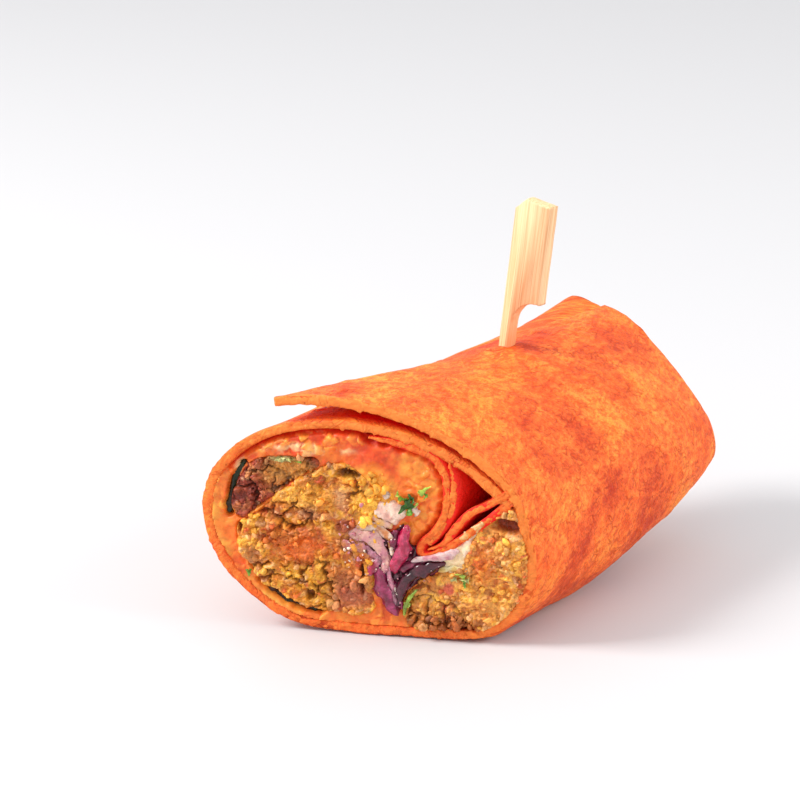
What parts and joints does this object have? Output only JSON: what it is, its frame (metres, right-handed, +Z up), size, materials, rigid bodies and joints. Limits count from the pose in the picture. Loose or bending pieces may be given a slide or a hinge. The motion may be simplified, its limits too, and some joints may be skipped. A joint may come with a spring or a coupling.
{
  "type": "falafel wrap",
  "caption": "Half of a falafel wrap in a tomato tortilla, cut across on a slant, with its filling showing and a flat bamboo pick standing in it.",
  "frame": {"origin": "middle of the whole part's box, on the plane that the roll lies on", "axes": "+Z up; the roll lies along +Y, with its cut end at -Y and its folded tail at +Y; +X is on the right when facing the cut"},
  "size_m": [0.0745, 0.1278, 0.0939],
  "materials": {
    "tomato_tortilla": "matt, soft bread",
    "orange_spread": "moist, smooth",
    "falafel": "crumbly, slightly moist",
    "dark_falafel": "crumbly, moist",
    "red_cabbage": "wet",
    "white_sauce": "glossy, thick",
    "herb": "moist leaf",
    "dark_leaf": "moist leaf",
    "bamboo": "sanded, unvarnished"
  },
  "bodies": {
    "root": {"tortilla": "tomato_tortilla", "orange_spread": "orange_spread", "falafel_left": "falafel", "falafel_upper_left": "dark_falafel", "falafel_right": "falafel", "red_cabbage": "red_cabbage", "sauce_middle": "white_sauce", "sauce_right": "white_sauce", "herb_middle": "herb", "herb_right": "herb", "leaf_left": "dark_leaf", "leaf_lower": "dark_leaf", "pick": "bamboo"}
  },
  "joints": []
}
